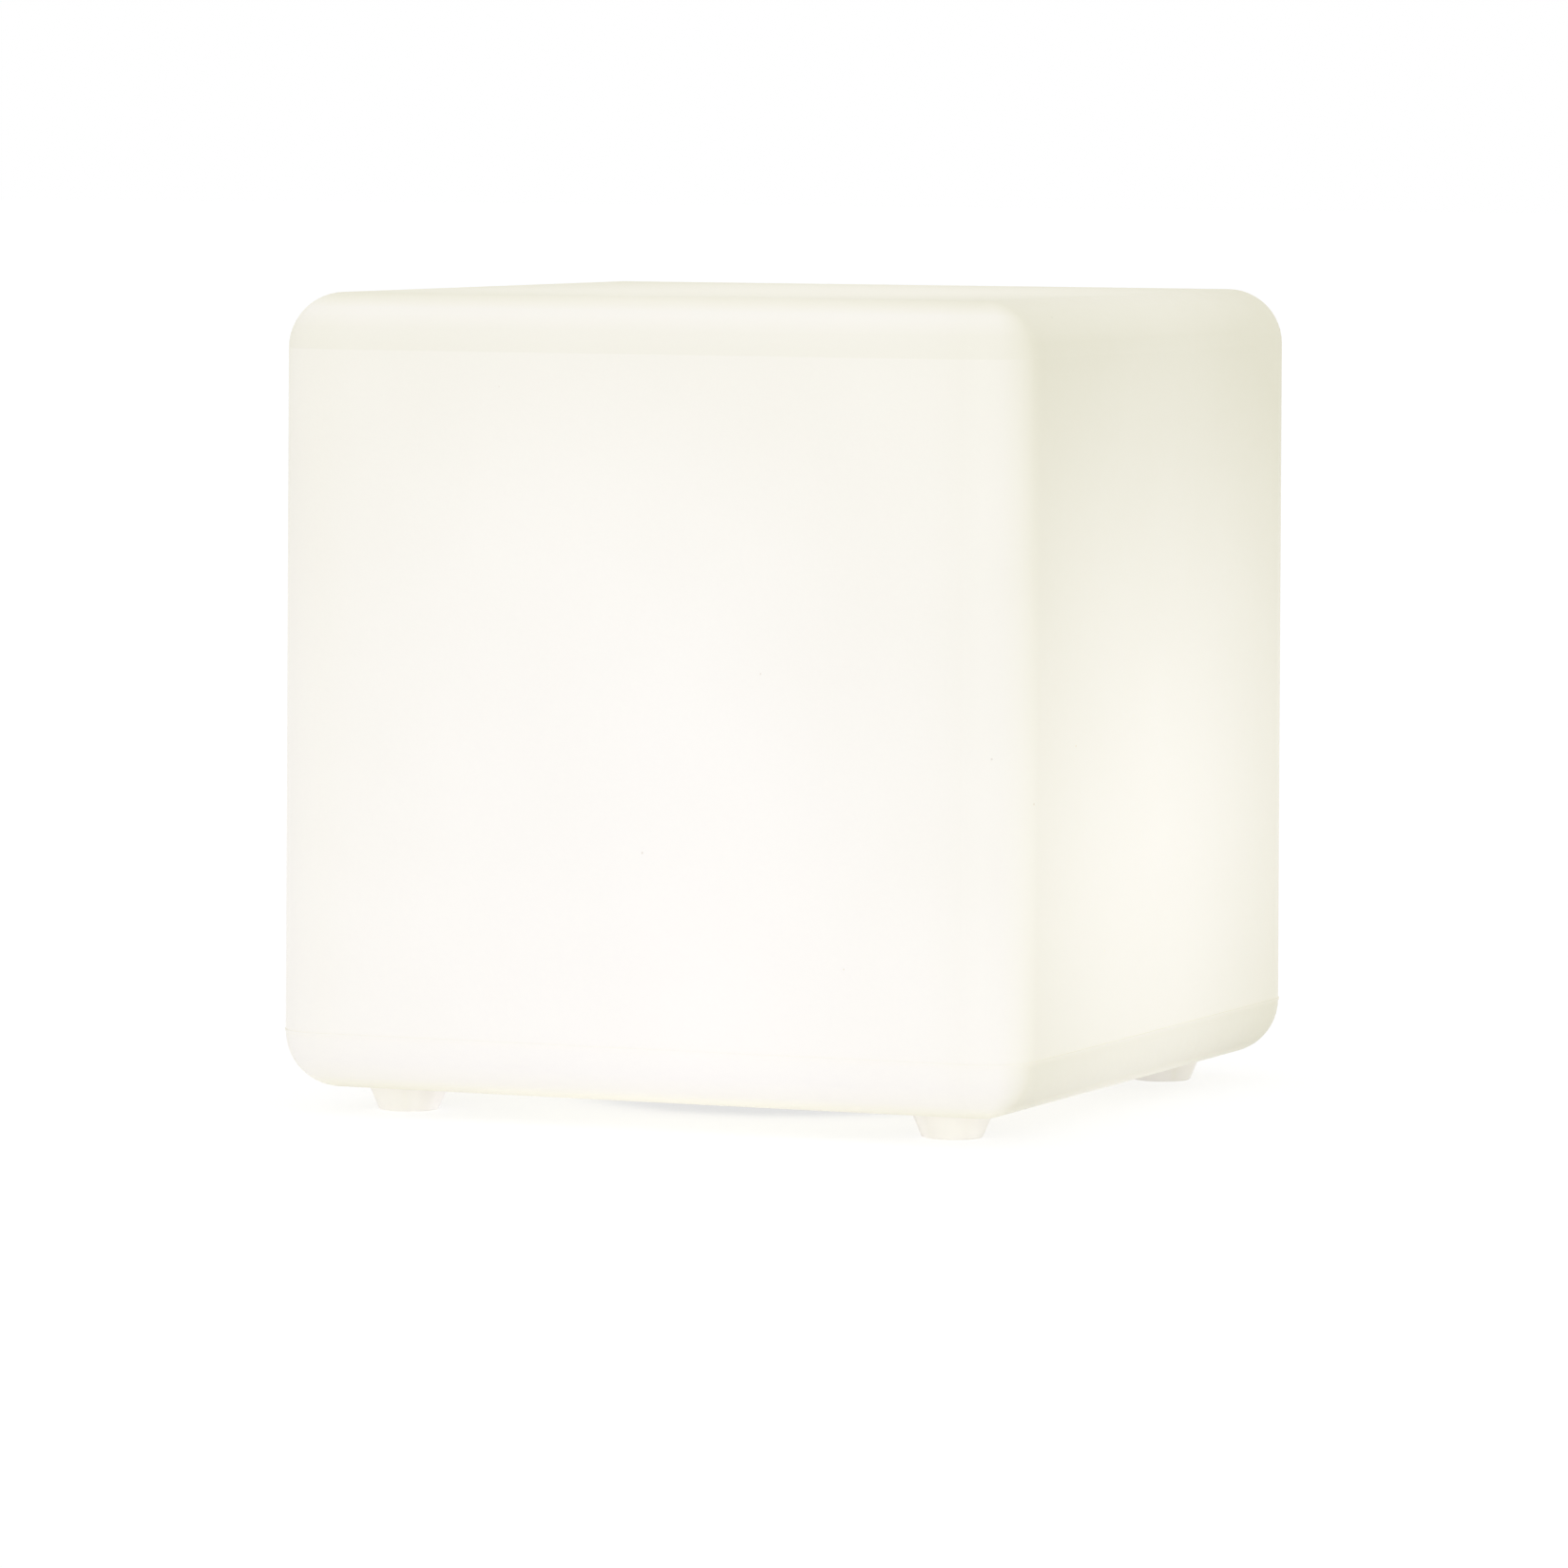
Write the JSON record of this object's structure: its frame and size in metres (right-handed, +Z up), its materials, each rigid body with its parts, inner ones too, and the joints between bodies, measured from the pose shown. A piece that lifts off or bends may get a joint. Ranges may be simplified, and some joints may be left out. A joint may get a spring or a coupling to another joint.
{
  "type": "led cube light",
  "caption": "Glowing garden cube: a hollow moulded plastic shell with rounded edges on tapered feet, lit from inside by a sealed rechargeable lamp module in its underside.",
  "frame": {"origin": "bottom centre of the lamp, in the plane that the four feet stand on", "axes": "+Z up, through the middle of the top face; -Y is the side face that the picture shows at its left, +X the one at its right"},
  "size_m": [0.3004, 0.3004, 0.307],
  "materials": {
    "shell": "off-white translucent polyethylene, fine satin surface",
    "brass": "turned",
    "base": "white moulded plastic, fine grain",
    "rubber_grey": "smooth",
    "rubber_light": "smooth silicone",
    "steel": "zinc plated",
    "frosted": "frosted",
    "lamp_board": "white solder mask",
    "led": "lit lamp",
    "black_plastic": "moulded",
    "green_board": "green solder mask",
    "white_plastic": "moulded",
    "tin": "tinned",
    "cell_wrap": "shrink wrap",
    "clear": "clear",
    "capacitor": "sleeved",
    "button": "smooth",
    "lead_red": "insulation",
    "lead_black": "insulation",
    "lead_white": "insulation"
  },
  "bodies": {
    "housing": {"shell": "shell", "shell_inserts": "brass", "base_case": "base", "base_gasket": "rubber_grey", "base_screws": "steel", "light_cover": "frosted", "cover_gasket": "rubber_grey", "cover_screws": "steel", "led_board": "lamp_board", "led_chips": "led", "led_board_screws": "steel", "ir_receiver": "black_plastic", "led_connector": "white_plastic", "control_board": "green_board", "board_screws": "steel", "control_chips": "black_plastic", "driver_transistors": "black_plastic", "board_capacitors": "capacitor", "charge_coil": "black_plastic", "board_connectors": "white_plastic", "push_switch": "black_plastic", "button_seal": "rubber_light", "charge_lamp": "clear", "light_pipe": "clear", "dc_jack": "black_plastic", "jack_pin": "tin", "jack_lugs": "tin", "jack_nut": "steel", "flap_anchor": "rubber_light", "battery_cells": "cell_wrap", "cell_strips": "tin", "battery_tray": "black_plastic", "battery_clamp": "black_plastic", "clamp_screws": "steel", "battery_leads": "lead_red", "jack_leads": "lead_black", "led_leads": "lead_white"},
    "power_button": {"button_cap": "button", "switch_plunger": "black_plastic"},
    "flap": {"port_flap": "rubber_light"}
  },
  "joints": [
    {"name": "button_press", "type": "slide", "parent": "housing", "child": "power_button", "axis": [0, 0, 1], "range_m": [0, 0.0015], "stiffness_N_per_m": 900, "springref_m": -0.001},
    {"name": "flap_hinge", "type": "hinge", "parent": "housing", "child": "flap", "pos_m": [0.032, 0, 0.01175], "axis": [0, -1, 0], "range_deg": [0, 110]}
  ]
}
